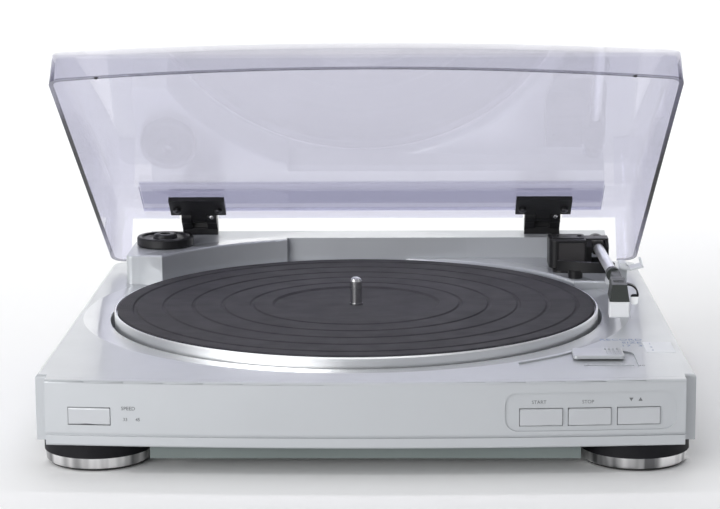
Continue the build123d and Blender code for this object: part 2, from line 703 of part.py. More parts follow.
def tonearm_base():
    plate = rounded(ARM_X - 31, ARM_X + 8, 107, 151, 6, PLATFORM_Z, PLATFORM_Z + 1.5)
    sleeve = disc(ARM_X, ARM_Y, 4.95, DECK_Z - 6, PLATFORM_Z + 1)
    return plate + sleeve - disc(ARM_X, ARM_Y, 4.05, DECK_Z - 8, PLATFORM_Z + 5)


def tonearm_yoke():
    """Housing on the left, and a fork that holds the arm's level pins, tied above and below."""
    low = PLATFORM_Z + 1.9 - ARM_Z
    housing = block((YOKE_LEFT, YOKE_SEAM), (-15, 9), (low, YOKE_TOP))
    housing -= block((YOKE_LEFT + 6, YOKE_SEAM - 1.2), (-16, -14.4), (low + 4, YOKE_TOP - 2))
    corner = edges_at(housing, lambda c: c.X < YOKE_LEFT + 0.5 and c.Y < -14 and abs(c.Z) < 4)
    housing = fillet(corner, 5)
    housing = fillet(edges_at(housing, lambda c: abs(c.Z - YOKE_TOP) < 0.01), 1.0)
    cheek = [(-10, low), (-10, 1.5), (-6, 5.6), (6, 5.6), (8.5, 3), (8.5, low)]
    fork = profile_x(cheek, YOKE_SEAM - 0.5, -YOKE_GAP) + profile_x(cheek, YOKE_GAP, YOKE_RIGHT)
    fork += block((YOKE_SEAM - 0.5, YOKE_RIGHT), (-6, 6), (5.5, 6.7))
    fork += block((YOKE_LEFT + 4, YOKE_RIGHT), (-10, 8.5), (low, -8.6))
    shaft = disc(0, 0, 4.0, LEVER_Z - ARM_Z, low + 1)
    bores = rod_x(-9, YOKE_RIGHT + 1, 0, 0, 1.22)
    return park(housing + fork + shaft - bores)


def arm_pins():
    left = rod_x(-8.8, -2.2, 0, 0, 1.2)
    right = rod_x(2.2, YOKE_RIGHT + 0.4, 0, 0, 1.2) + rod_x(YOKE_RIGHT, YOKE_RIGHT + 0.8, 0, 0, 2.4)
    return park(left + right)


def return_lever():
    low = LEVER_Z - ARM_Z
    arm = rounded(-30, 6, -6, 6, 5.9, low, low + 2.0) - disc(0, 0, 4.02, low - 1, low + 3)
    return park(arm + disc(-24, 0, 2, low - 6, low + 1))


def arm_block():
    body = block((-4, 4), (-9, 9), (-3.8, 3.9))
    body = fillet(body.edges().filter_by(Axis.Y), 1.2)
    body += rod_y(9, 15, 0, 0, 3)
    body -= rod_x(-6, 6, 0, 0, 1.25)
    body -= rod_y(-10, -5, 0, 0, 3.02)
    return dip(body)


def counterweight():
    body = rod_y(12, 20, 0, 0, 6.4)
    body = fillet(edges_at(body, lambda c: c.Y > 19.9), 1.2)
    return dip(body - rod_y(11, 15.2, 0, 0, 3.02))


def tonearm_tube():
    end = HEAD_START + HEAD_NECK - 3
    tube = rod_y(end, -9, 0, 0, TUBE_R) + rod_y(-9.5, -5.2, 0, 0, 3.0)
    return dip(tube - rod_y(end - 1, -5, 0, 0, 2.2))


def headshell():
    """Drafted shell with a long neck, open below, over the cartridge."""
    half, neck, front = HEAD_HALF, HEAD_NECK, -HEAD_LENGTH
    outline = Polyline((3.8, neck), (-3.8, neck), (-4.4, -6), (-half, -18), (-half, front), (half, front),
                       (half, -18), (4.4, -6), close=True)
    shell = extrude(Pos(0, 0, HEAD_LOW) * make_face(outline), HEAD_TOP - HEAD_LOW, taper=HEAD_DRAFT)
    side = [(neck + 1, -4.2), (neck + 1, 3.0), (-8, 2.2), (-19, HEAD_TOP), (front - 1, HEAD_TOP),
            (front - 1, HEAD_LOW), (-18, HEAD_LOW), (-7, -4.2)]
    shell &= profile_x(side, -10, 10)
    wide, end = half - 1.3, front + 1.4
    inner = [(-2.4, -10), (2.4, -10), (wide, -19), (wide, end), (-wide, end), (-wide, -19)]
    shell -= prism(inner, HEAD_LOW - 1, HEAD_CEILING)
    for n in range(3):
        y = front + 14 - 2.4 * n
        shell -= block((-3.2, 3.2), (y, y + 1.2), (HEAD_TOP - 0.5, HEAD_TOP + 1))
    root = HEAD_START + neck
    collar = rod_y(root - 5, root + 3, 0, 0, TUBE_R + 0.9)
    bore = rod_y(root - 3.2, root + 7, 0, 0, TUBE_R + 0.02)
    return at_head(shell) + dip(collar) - dip(bore)


def cartridge():
    top = HEAD_CEILING
    side = [(-22, top), (-22, -12.2), (-33, -13.4), (-38, -13.4), (-40.2, -11), (-40.2, top)]
    body = profile_x(side, -4.3, 4.3)
    body = fillet(edges_at(body, lambda c: c.Z < -10 and abs(c.X) < 1), 0.5)
    for n in range(4):
        body += rod_y(-22.5, -17, -3 + 2 * n, -5.5, 0.5)
    return at_head(body)


def stylus():
    side = [(-24, -12.42), (-24, -13.6), (-33, -14.8), (-35, -14.8), (-35, -13.4), (-33, -13.4)]
    holder = profile_x(side, -2.6, 2.6)
    lever = rod_y(-36.4, -34.5, 0, -14.2, 0.35)
    tip = Pos(0, -36, -15.0) * Cone(0.05, 0.3, 1.0)
    return at_head(holder + lever + tip)


def stylus_guard():
    front = -HEAD_LENGTH - 0.8
    outer = block((-6.1, 6.1), (front, -31), (-16.3, HEAD_LOW - 0.1))
    outer = fillet(edges_at(outer, lambda c: abs(c.Y - front) < 0.01), 1.0)
    inner = block((-5.0, 5.0), (front + 1.1, -30), (-15.7, HEAD_LOW + 1))
    return at_head(outer - inner)


def finger_lift():
    """A curved tab at the head's right side, bent down, with an upright finger pad at its end."""
    x0, z0, r_in, r_out = 4.75, -3.0, 5.6, 6.6
    near, far = -39.5, -34.5
    ring = rod_y(near, far, x0, z0, r_out) - rod_y(near - 1, far + 1, x0, z0, r_in)
    arc = ring & block((x0 - 0.2, 20), (near - 1, far + 1), (z0 - 1.6, 10))
    pad = Plane.XZ * Pos(x0 + 4.0, z0 - 2.7) * RectangleRounded(4.4, 6.2, 1.6)
    return at_head(arc + extrude(Pos(0, near, 0) * pad, -1.2))


def arm_rest():
    """Post beside the parked tube, with a ledge that reaches under it."""
    column = block(REST_X, REST_Y, (REST_BASE_Z, REST_TOP_Z))
    column = fillet(column.edges().filter_by(Axis.Y).group_by(Axis.Z)[-1], 1.0)
    ledge = block((146.8, REST_X[0] + 1), REST_Y, (REST_LEDGE_Z - 3.3, REST_LEDGE_Z))
    return column + ledge - rod_y(REST_Y[0] - 1, REST_Y[1] + 1, CLIP_X, CLIP_Z, 0.86)


def arm_clip():
    """Hook that locks the tube, drawn swung over to the outside."""
    y0, y1 = REST_Y[0] - 1.6, REST_Y[1] + 1.6
    end = ARM_X - TUBE_R - 2
    bar = block((end, CLIP_X - 3), (y0, y1), (CLIP_Z + 2.6, CLIP_Z + 3.8))
    tip = block((end, end + 1.2), (y0 + 3, y1 - 3), (CLIP_Z - 1.5, CLIP_Z + 3))
    hook = bar + tip + rod_y(y0, y1, CLIP_X, CLIP_Z, 0.8)
    for near, far in ((y0, y0 + 1.3), (y1 - 1.3, y1)):
        hook += rod_y(near, far, CLIP_X, CLIP_Z, 2.0)
        hook += clip_cheek(near, far)
    return hook.rotate(Axis((CLIP_X, 0, CLIP_Z), (0, 1, 0)), CLIP_OPEN_DEG)


def clip_cheek(near, far):
    """Cheek that joins the hook's bar to its pin, between two values of Y."""
    points = [(-4.0, 3.8), (1.2, 1.6), (-0.6, -1.9), (-4.0, 2.6)]
    face = make_face(Polyline(*[(CLIP_X + x, near, CLIP_Z + z) for x, z in points], close=True))
    return extrude(face, far - near, dir=(0, 1, 0))


def cue_lifter():
    """Arc-shaped bar under the tube, centred on the arm's pivot, on an upright post."""
    low, top = CUE_BAR_Z
    ring = disc(ARM_X, ARM_Y, CUE_R + 2, low, top) - disc(ARM_X, ARM_Y, CUE_R - 2, low - 1, top + 1)
    far = 120
    points = [(ARM_X, ARM_Y)]
    for n in range(5):
        a = math.radians(CUE_BAR_DEG[0] + n * (CUE_BAR_DEG[1] - CUE_BAR_DEG[0]) / 4)
        points.append((ARM_X - far * math.sin(a), ARM_Y - far * math.cos(a)))
    bar = ring & prism(points, low - 1, top + 1)
    x, y = cue_post()
    return bar + disc(x, y, CUE_POST_R, DECK_Z - 10, low + 1)


# Loose and sliding pieces on the deck


def size_selector():
    x0, x1 = SELECTOR_X - SELECTOR_HALF[0], SELECTOR_X + SELECTOR_HALF[0]
    y0, y1 = SELECTOR_Y - SELECTOR_HALF[1], SELECTOR_Y + SELECTOR_HALF[1]
    plate = rounded(x0, x1, y0, y1, 2, DECK_Z + 0.2, DECK_Z + 2.2)
    plate = soften(plate, DECK_Z + 2.2, 0.9)
    plate -= disc(PLATTER_X, PLATTER_Y, BEVEL_R + 4, DECK_Z - 2, DECK_Z + 4)
    for n in range(4):
        x = SELECTOR_X + 4 + 2.2 * n
        plate -= block((x, x + 1), (y0 + 3, y1 - 3), (DECK_Z + 1.7, DECK_Z + 3))
    slot = (SELECTOR_Y - 1.9, SELECTOR_Y + 1.9)
    stem = block((SELECTOR_X - 4, SELECTOR_X + 4), slot, (DECK_Z - 6, DECK_Z + 1))
    return plate + stem


def adapter_45():
    """Centre piece for records with a large hole, on its peg."""
    z = PLATEAU_FRONT_Z + 0.1
    return turned([(3.56, z), (18.2, z), (19.0, z + 0.9), (19.0, z + 5.4), (18.2, z + 6.4),
                   (16.2, z + 6.4), (15.4, z + 5.2), (8.2, z + 5.2), (7.4, z + 7.4), (6.4, z + 8.0),
                   (3.56, z + 8.0)], *ADAPTER_AT)


def main():
    save("plinth_cover", plinth_cover())
    save("fascia", fascia())
    save("base_pan", base_pan())
    for x, y, place in ((-FOOT_X, -FOOT_Y, "front_left"), (FOOT_X, -FOOT_Y, "front_right"),
                        (-FOOT_X, FOOT_Y, "rear_left"), (FOOT_X, FOOT_Y, "rear_right")):
        for part, shape in foot_parts(x, y).items():
            save(f"foot_{part}_{place}", shape)
    save("case_screws", case_screws())
    save("platter", platter())
    save("slip_mat", slip_mat())
    save("spindle", spindle())
    save("hub_gear", hub_gear())
    save("spindle_bearing", bearing())
    save("cam_gear", cam_gear())
    save("drive_belt", belt())
    save("drive_motor", motor())
    save("motor_shaft", motor_shaft())
    save("motor_pulley", motor_pulley())
    save("power_board", power_board())
    save("power_transformer", transformer())
    save("cord_glands", cord_glands())
    for name, x in BUTTONS.items():
        save(name, button(x))
    save("control_board", control_board())
    save("speed_switch", speed_switch())
    save("dust_cover", dust_cover())
    save("lid_bumpers", lid_bumpers())
    for place, x in HINGES.items():
        save(f"hinge_leaf_{place}", hinge_leaf(x))
        save(f"hinge_block_{place}", hinge_block(x))
        save(f"hinge_pin_{place}", hinge_pin(x))
    save("tonearm_base", tonearm_base())
    save("tonearm_yoke", tonearm_yoke())
    save("arm_pins", arm_pins())
    save("return_lever", return_lever())
    save("arm_block", arm_block())
    save("counterweight", counterweight())
    save("tonearm_tube", tonearm_tube())
    save("headshell", headshell())
    save("cartridge", cartridge())
    save("stylus", stylus())
    save("stylus_guard", stylus_guard())
    save("finger_lift", finger_lift())
    save("arm_rest", arm_rest())
    save("arm_clip", arm_clip())
    save("cue_lifter", cue_lifter())
    save("size_selector", size_selector())
    save("adapter_45", adapter_45())


main()
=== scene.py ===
import math

import bmesh
import bpy
from mathutils import Matrix, Vector


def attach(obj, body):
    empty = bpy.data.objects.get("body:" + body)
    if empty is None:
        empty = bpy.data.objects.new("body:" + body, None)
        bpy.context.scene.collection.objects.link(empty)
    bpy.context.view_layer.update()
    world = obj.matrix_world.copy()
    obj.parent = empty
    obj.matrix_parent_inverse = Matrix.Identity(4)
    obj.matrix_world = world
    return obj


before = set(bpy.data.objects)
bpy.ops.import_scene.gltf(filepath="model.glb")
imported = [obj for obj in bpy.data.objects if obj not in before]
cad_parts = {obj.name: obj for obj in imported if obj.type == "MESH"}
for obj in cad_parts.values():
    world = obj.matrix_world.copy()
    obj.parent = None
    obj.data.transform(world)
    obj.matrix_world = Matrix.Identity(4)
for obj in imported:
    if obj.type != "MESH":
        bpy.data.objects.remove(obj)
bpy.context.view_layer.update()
print("frame loaded:", len(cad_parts), "nodes")

mm = 0.001

# Lengths that several pieces share, in millimetres
hinge = {"axis": (0, 167.5, 88.0), "openDeg": -30.8, "x": (-119.5, 115.5)}
platterCentre = (-8.5, 12.5, 0)
armPivot = Vector((150.3, 129.5, 72.6))
deckZ = 54.0


# Node helpers: a value is a number, a colour or the socket of another node

def setInput(links, socket, value):
    if isinstance(value, bpy.types.NodeSocket):
        links.new(value, socket)
    else:
        socket.default_value = value


def mathNode(nodes, links, operation, *values):
    node = nodes.new("ShaderNodeMath")
    node.operation = operation
    for socket, value in zip(node.inputs, values):
        setInput(links, socket, value)
    return node.outputs[0]


def objectPlace(nodes):
    return nodes.new("ShaderNodeTexCoord").outputs["Object"]


def mapPlace(nodes, links, kind, **settings):
    # object coordinates, moved, turned or scaled
    mapping = nodes.new("ShaderNodeMapping")
    mapping.vector_type = kind
    for label, value in settings.items():
        mapping.inputs[label].default_value = value
    links.new(objectPlace(nodes), mapping.inputs["Vector"])
    return mapping.outputs["Vector"]


def splitPlace(nodes, links, place):
    split = nodes.new("ShaderNodeSeparateXYZ")
    links.new(place, split.inputs[0])
    return split.outputs


def noiseNode(nodes, links, scale, detail, stretch=None):
    noise = nodes.new("ShaderNodeTexNoise")
    noise.inputs["Detail"].default_value = detail
    place = mapPlace(nodes, links, "POINT", Scale=stretch) if stretch else objectPlace(nodes)
    links.new(place, noise.inputs["Vector"])
    setInput(links, noise.inputs["Scale"], scale)
    return noise.outputs["Fac"]


def remap(nodes, links, source, low, high):
    # most of a noise lies between 0.3 and 0.7, which become low and high
    node = nodes.new("ShaderNodeMapRange")
    node.inputs["From Min"].default_value = 0.3
    node.inputs["From Max"].default_value = 0.7
    links.new(source, node.inputs["Value"])
    setInput(links, node.inputs["To Min"], low)
    setInput(links, node.inputs["To Max"], high)
    return node.outputs["Result"]


def remapAround(nodes, links, source, middle, spread):
    low = mathNode(nodes, links, "SUBTRACT", middle, spread)
    high = mathNode(nodes, links, "ADD", middle, spread)
    return remap(nodes, links, source, low, high)


def compareTo(nodes, links, source, low, high):
    # 1 where the source lies between two lengths in millimetres
    return mathNode(nodes, links, "COMPARE", source, (low + high) / 2 * mm, (high - low) / 2 * mm)


def mixColours(nodes, links, factor, low, high):
    node = nodes.new("ShaderNodeMix")
    node.data_type = "RGBA"
    factorIn, lowIn, highIn = (node.inputs[n] for n in (0, 6, 7))
    links.new(factor, factorIn)
    setInput(links, lowIn, low)
    setInput(links, highIn, high)
    return node.outputs[2]


def addBump(nodes, links, height, strength, distance):
    bump = nodes.new("ShaderNodeBump")
    bump.inputs["Distance"].default_value = distance * mm
    setInput(links, bump.inputs["Strength"], strength)
    links.new(height, bump.inputs["Height"])
    return bump.outputs["Normal"]


# Shared effects: node groups with named sockets

def newGroup(name, inputs, output, kind):
    group = bpy.data.node_groups.new(name, "ShaderNodeTree")
    for label, (inputKind, value) in inputs.items():
        socket = group.interface.new_socket(label, in_out="INPUT", socket_type="NodeSocket" + inputKind)
        socket.default_value = value
    group.interface.new_socket(output, in_out="OUTPUT", socket_type="NodeSocket" + kind)
    taken = group.nodes.new("NodeGroupInput").outputs
    given = group.nodes.new("NodeGroupOutput").inputs[output]
    return group, group.nodes, group.links, taken, given


def buildToneDrift():
    # slow change of colour across a moulding
    group, nodes, links, taken, given = newGroup("toneDrift", {
        "Colour": ("Color", (0.5, 0.5, 0.5, 1)), "Scale": ("Float", 12.0), "Spread": ("Float", 0.05),
    }, "Colour", "Color")
    noise = noiseNode(nodes, links, taken["Scale"], detail=4)
    scale = nodes.new("ShaderNodeVectorMath")
    scale.operation = "SCALE"
    links.new(taken["Colour"], scale.inputs[0])
    links.new(remapAround(nodes, links, noise, 1.0, taken["Spread"]), scale.inputs["Scale"])
    links.new(scale.outputs[0], given)
    return group


def buildRoughDrift():
    # handling marks: a coarse drift of roughness with fine streaks in it
    look = {"coarseDetail": 6, "fineDetail": 3, "fineStretch": (1.5, 26.0, 18.0), "fineShare": 0.35}
    group, nodes, links, taken, given = newGroup("roughDrift", {
        "Roughness": ("Float", 0.4), "Scale": ("Float", 30.0), "Spread": ("Float", 0.05),
    }, "Roughness", "Float")
    coarse = noiseNode(nodes, links, taken["Scale"], look["coarseDetail"])
    fine = noiseNode(nodes, links, taken["Scale"], look["fineDetail"], look["fineStretch"])
    coarsePart = mathNode(nodes, links, "MULTIPLY", coarse, 1 - look["fineShare"])
    mixed = mathNode(nodes, links, "MULTIPLY_ADD", fine, look["fineShare"], coarsePart)
    links.new(remapAround(nodes, links, mixed, taken["Roughness"], taken["Spread"]), given)
    return group


def buildFineGrain():
    # moulded texture, as a normal
    group, nodes, links, taken, given = newGroup("fineGrain", {
        "Scale": ("Float", 900.0), "Depth": ("Float", 0.2),
    }, "Normal", "Vector")
    noise = noiseNode(nodes, links, taken["Scale"], detail=2)
    links.new(addBump(nodes, links, noise, taken["Depth"], distance=0.2), given)
    return group


def buildDustFilm():
    # thin dust that lies on faces turned upwards
    look = {"scale": 70.0, "detail": 8, "patch": (0.2, 1.0), "colour": (0.62, 0.61, 0.60, 1)}
    group, nodes, links, taken, given = newGroup("dustFilm", {
        "Colour": ("Color", (0.5, 0.5, 0.5, 1)), "Amount": ("Float", 0.1),
    }, "Colour", "Color")
    normal = splitPlace(nodes, links, nodes.new("ShaderNodeNewGeometry").outputs["Normal"])
    noise = noiseNode(nodes, links, look["scale"], look["detail"])
    patch = remap(nodes, links, noise, *look["patch"])
    upward = mathNode(nodes, links, "MULTIPLY", normal["Z"], patch)
    upward.node.use_clamp = True
    amount = mathNode(nodes, links, "MULTIPLY", upward, taken["Amount"])
    links.new(mixColours(nodes, links, amount, taken["Colour"], look["colour"]), given)
    return group


toneDrift = buildToneDrift()
roughDrift = buildRoughDrift()
fineGrain = buildFineGrain()
dustFilm = buildDustFilm()


# Materials

def useGroup(nodes, group, **values):
    node = nodes.new("ShaderNodeGroup")
    node.node_tree = group
    for label, value in values.items():
        node.inputs[label].default_value = value
    return node


def newMaterial(name):
    material = bpy.data.materials.new(name)
    material.use_nodes = True
    nodes, links = material.node_tree.nodes, material.node_tree.links
    return material, nodes, links, nodes["Principled BSDF"]


def opaque(colour):
    return tuple(colour) + (1,)


def driftRoughness(nodes, links, shader, roughness, scale, spread):
    rough = useGroup(nodes, roughDrift, Roughness=roughness, Scale=scale, Spread=spread)
    links.new(rough.outputs["Roughness"], shader.inputs["Roughness"])


def driftColour(nodes, links, shader, colour, scale, spread, dustAmount):
    tone = useGroup(nodes, toneDrift, Colour=opaque(colour), Scale=scale, Spread=spread)
    dust = useGroup(nodes, dustFilm, Amount=dustAmount)
    links.new(tone.outputs["Colour"], dust.inputs["Colour"])
    links.new(dust.outputs["Colour"], shader.inputs["Base Color"])


usualLook = {"metallic": 0.0, "ior": 1.5, "coat": 0.0, "coatRoughness": 0.1, "toneScale": 14.0, "toneSpread": 0.04,
             "roughScale": 40.0, "roughSpread": 0.05, "dust": 0.04, "grainScale": 900.0, "grainDepth": 0.0}


def makeFinish(name, ownLook):
    look = {**usualLook, **ownLook}
    material, nodes, links, shader = newMaterial(name)
    material.diffuse_color = opaque(look["colour"])
    shader.inputs["Metallic"].default_value = look["metallic"]
    shader.inputs["IOR"].default_value = look["ior"]
    shader.inputs["Coat Weight"].default_value = look["coat"]
    shader.inputs["Coat Roughness"].default_value = look["coatRoughness"]
    driftColour(nodes, links, shader, look["colour"], look["toneScale"], look["toneSpread"], look["dust"])
    driftRoughness(nodes, links, shader, look["roughness"], look["roughScale"], look["roughSpread"])
    if look["grainDepth"]:
        grain = useGroup(nodes, fineGrain, Scale=look["grainScale"], Depth=look["grainDepth"])
        links.new(grain.outputs["Normal"], shader.inputs["Normal"])
    return material


finishes = {
    "silverLacquer": {"colour": (0.47, 0.488, 0.507), "metallic": 0.35, "roughness": 0.36, "roughSpread": 0.04,
                      "coat": 0.3, "coatRoughness": 0.18, "toneSpread": 0.012, "grainScale": 2600.0,
                      "grainDepth": 0.10},
    "silverButton": {"colour": (0.48, 0.495, 0.515), "metallic": 0.35, "roughness": 0.32, "coat": 0.2,
                     "toneSpread": 0.02, "grainScale": 2600.0, "grainDepth": 0.08},
    "paleMoulding": {"colour": (0.58, 0.60, 0.62), "roughness": 0.42, "toneSpread": 0.02, "grainDepth": 0.15},
    "blackMoulding": {"colour": (0.008, 0.008, 0.009), "ior": 1.38, "roughness": 0.42, "roughSpread": 0.08,
                      "toneSpread": 0.2, "grainDepth": 0.35, "dust": 0.012},
    "blackSteel": {"colour": (0.10, 0.10, 0.11), "metallic": 1.0, "roughness": 0.32, "toneSpread": 0.1},
    "cupMoulding": {"colour": (0.006, 0.006, 0.008), "roughness": 0.6, "ior": 1.3, "toneSpread": 0.1,
                    "dust": 0.004},
    "greyMoulding": {"colour": (0.055, 0.058, 0.058), "roughness": 0.45, "toneSpread": 0.10, "grainDepth": 0.25,
                     "dust": 0.02},
    "panelGrey": {"colour": (0.035, 0.033, 0.034), "roughness": 0.36, "toneSpread": 0.06, "grainDepth": 0.1,
                  "dust": 0.01},
    "oliveMoulding": {"colour": (0.026, 0.031, 0.028), "roughness": 0.42, "toneSpread": 0.08, "grainDepth": 0.2,
                      "dust": 0.01},
    "panLacquer": {"colour": (0.16, 0.19, 0.185), "roughness": 0.55, "toneSpread": 0.08, "grainScale": 1400.0,
                   "grainDepth": 0.4},
    "turnedSteel": {"colour": (0.60, 0.60, 0.61), "metallic": 1.0, "roughness": 0.22, "roughSpread": 0.07,
                    "toneSpread": 0.03},
    "castAlloy": {"colour": (0.90, 0.91, 0.92), "metallic": 1.0, "roughness": 0.36, "roughSpread": 0.02,
                  "toneSpread": 0.02, "dust": 0.0},
    "turnedBrass": {"colour": (0.62, 0.45, 0.19), "metallic": 1.0, "roughness": 0.25, "roughSpread": 0.08,
                    "toneSpread": 0.05},
    "softRubber": {"colour": (0.018, 0.018, 0.018), "roughness": 0.78, "toneSpread": 0.15, "grainDepth": 0.4,
                   "dust": 0.03},
    "milkyMoulding": {"colour": (0.74, 0.75, 0.77), "roughness": 0.35, "toneSpread": 0.02, "grainDepth": 0.05},
    "circuitBoard": {"colour": (0.025, 0.09, 0.035), "roughness": 0.4, "toneSpread": 0.25, "toneScale": 160.0,
                     "coat": 0.2},
    "legendInk": {"colour": (0.12, 0.125, 0.13), "roughness": 0.5, "toneSpread": 0.1},
    "blueInk": {"colour": (0.16, 0.22, 0.36), "roughness": 0.5, "toneSpread": 0.05},
    "panelSheet": {"colour": (0.66, 0.68, 0.71), "roughness": 0.4, "toneSpread": 0.01},
}


def makeBodyLacquer():
    # the bevel round the platter's well is polished, so it mirrors the platter's rim
    look = {"ring": (151.5, 168.2), "coatRoughness": 0.10}
    lacquer = finishes["silverLacquer"]
    material = makeFinish("bodyLacquer", {**lacquer, "coatRoughness": look["coatRoughness"]})
    nodes, links = material.node_tree.nodes, material.node_tree.links
    flat = mapPlace(nodes, links, "POINT", Location=[-value * mm for value in platterCentre], Scale=(1, 1, 0))
    radius = nodes.new("ShaderNodeVectorMath")
    radius.operation = "LENGTH"
    links.new(flat, radius.inputs[0])
    blend = nodes.new("ShaderNodeMapRange")
    blend.inputs["To Min"].default_value = lacquer["coat"]
    links.new(compareTo(nodes, links, radius.outputs["Value"], *look["ring"]), blend.inputs["Value"])
    links.new(blend.outputs["Result"], nodes["Principled BSDF"].inputs["Coat Weight"])
    return material


def makeMatRubber():
    # charcoal rubber with fine turned grooves
    look = {"colour": (0.026, 0.0245, 0.030), "roughness": 0.72, "specular": 0.24, "grooveCount": 1500.0,
            "grooveStrength": 0.25, "grooveDistance": 0.2, "toneScale": 22.0, "toneSpread": 0.12, "dust": 0.035,
            "roughScale": 26.0, "roughSpread": 0.09}
    material, nodes, links, shader = newMaterial("matRubber")
    shader.inputs["Specular IOR Level"].default_value = look["specular"]
    rings = nodes.new("ShaderNodeTexWave")
    rings.wave_type = "RINGS"
    rings.rings_direction = "Z"
    rings.inputs["Scale"].default_value = look["grooveCount"] / math.tau
    centred = mapPlace(nodes, links, "POINT", Location=[-value * mm for value in platterCentre])
    links.new(centred, rings.inputs["Vector"])
    grooves = addBump(nodes, links, rings.outputs["Fac"], look["grooveStrength"], look["grooveDistance"])
    links.new(grooves, shader.inputs["Normal"])
    driftColour(nodes, links, shader, look["colour"], look["toneScale"], look["toneSpread"], look["dust"])
    driftRoughness(nodes, links, shader, look["roughness"], look["roughScale"], look["roughSpread"])
    return material


def makeSmokedCover():
    # clear tinted plastic that hardly bends the light, so that no dark line of trapped light marks its edge; its
    # coat makes it shine. The painted marks of light and shade are millimetres in the closed cover's frame, from the
    # hinge's axis.
    look = {"ior": 1.015, "coat": 0.8, "roughness": 0.03, "roughScale": 60.0, "roughSpread": 0.02,
            "absorb": (0.34, 0.33, 0.44), "density": 45.0, "shadow": (0.86, 0.855, 0.88),
            "tint": (0.765, 0.765, 0.85), "toneScale": 9.0, "toneSpread": 0.01}
    # painted shade: the band near the hinge and the bottom rim get a darker tint; painted light: the front strip
    # gets a paler tint
    paintedLightAndShade = {"band": {"X": (-157.0, 155.0), "Y": (-40.5, -7.5), "tint": (0.44, 0.44, 0.57)},
             "front": {"Y": (-320.0, -287.5), "tint": (0.95, 0.95, 0.97)},
             "rim": {"Z": (-34.2, -32.6), "tint": (0.27, 0.27, 0.30)}}
    material, nodes, links, shader = newMaterial("smokedCover")
    output = nodes["Material Output"]
    shader.inputs["Transmission Weight"].default_value = 1.0
    shader.inputs["IOR"].default_value = look["ior"]
    shader.inputs["Coat Weight"].default_value = look["coat"]
    shader.inputs["Coat Roughness"].default_value = look["roughness"]
    closed = splitPlace(nodes, links, mapPlace(
        nodes, links, "TEXTURE", Location=[value * mm for value in hinge["axis"]],
        Rotation=(math.radians(hinge["openDeg"]), 0, 0)))
    tint = opaque(look["tint"])
    for paintedMark in paintedLightAndShade.values():
        inside = [compareTo(nodes, links, closed[axis], *paintedMark[axis]) for axis in "XYZ" if axis in paintedMark]
        mask = mathNode(nodes, links, "MULTIPLY", *inside) if len(inside) > 1 else inside[0]
        tint = mixColours(nodes, links, mask, tint, opaque(paintedMark["tint"]))
    tone = useGroup(nodes, toneDrift, Scale=look["toneScale"], Spread=look["toneSpread"])
    links.new(tint, tone.inputs["Colour"])
    links.new(tone.outputs["Colour"], shader.inputs["Base Color"])
    driftRoughness(nodes, links, shader, look["roughness"], look["roughScale"], look["roughSpread"])
    # a shadow ray passes straight through, so the cover dims the deck instead of blackening it
    clear = nodes.new("ShaderNodeBsdfTransparent")
    clear.inputs["Color"].default_value = opaque(look["shadow"])
    mix = nodes.new("ShaderNodeMixShader")
    links.new(nodes.new("ShaderNodeLightPath").outputs["Is Shadow Ray"], mix.inputs["Fac"])
    links.new(shader.outputs["BSDF"], mix.inputs[1])
    links.new(clear.outputs["BSDF"], mix.inputs[2])
    links.new(mix.outputs["Shader"], output.inputs["Surface"])
    absorb = nodes.new("ShaderNodeVolumeAbsorption")
    absorb.inputs["Color"].default_value = opaque(look["absorb"])
    absorb.inputs["Density"].default_value = look["density"]
    links.new(absorb.outputs["Volume"], output.inputs["Volume"])
    return material


def makeBandChrome():
    # polished chrome ring of a foot; upright streaks of dark and bright painted into its colour stand in for
    # reflections of the floor and of the shade under the player
    look = {"dark": (0.16, 0.16, 0.165), "bright": (0.90, 0.89, 0.89), "roughness": 0.10, "scale": 75.0,
            "detail": 2, "stretch": (1.0, 1.0, 0.0), "contrast": (-0.6, 1.7)}
    material = makeFinish("bandChrome", {"colour": look["bright"], "metallic": 1.0, "roughness": look["roughness"]})
    nodes, links = material.node_tree.nodes, material.node_tree.links
    streak = noiseNode(nodes, links, look["scale"], look["detail"], look["stretch"])
    mask = remap(nodes, links, streak, *look["contrast"])
    # painted reflection: the streaks mix a dark and a bright colour
    paintedReflectionStreaks = mixColours(nodes, links, mask, opaque(look["dark"]), opaque(look["bright"]))
    links.new(paintedReflectionStreaks, nodes["Principled BSDF"].inputs["Base Color"])
    return material


def makeLiftFinish():
    # black finger lift with a pale pad at its end
    look = {"padZ": (50.0, 72.0), "pad": (0.86, 0.87, 0.88)}
    material = makeFinish("liftFinish", finishes["blackMoulding"])
    nodes, links = material.node_tree.nodes, material.node_tree.links
    baseColour = nodes["Principled BSDF"].inputs["Base Color"]
    black = baseColour.links[0].from_socket
    mask = compareTo(nodes, links, splitPlace(nodes, links, objectPlace(nodes))["Z"], *look["padZ"])
    links.new(mixColours(nodes, links, mask, black, opaque(look["pad"])), baseColour)
    return material


finish = {name: makeFinish(name, look) for name, look in finishes.items()}
finish["bodyLacquer"] = makeBodyLacquer()
finish["matRubber"] = makeMatRubber()
finish["smokedCover"] = makeSmokedCover()
finish["bandChrome"] = makeBandChrome()
finish["liftFinish"] = makeLiftFinish()


def eachFoot(name):
    return [name + corner for corner in ("_front_left", "_front_right", "_rear_left", "_rear_right")]


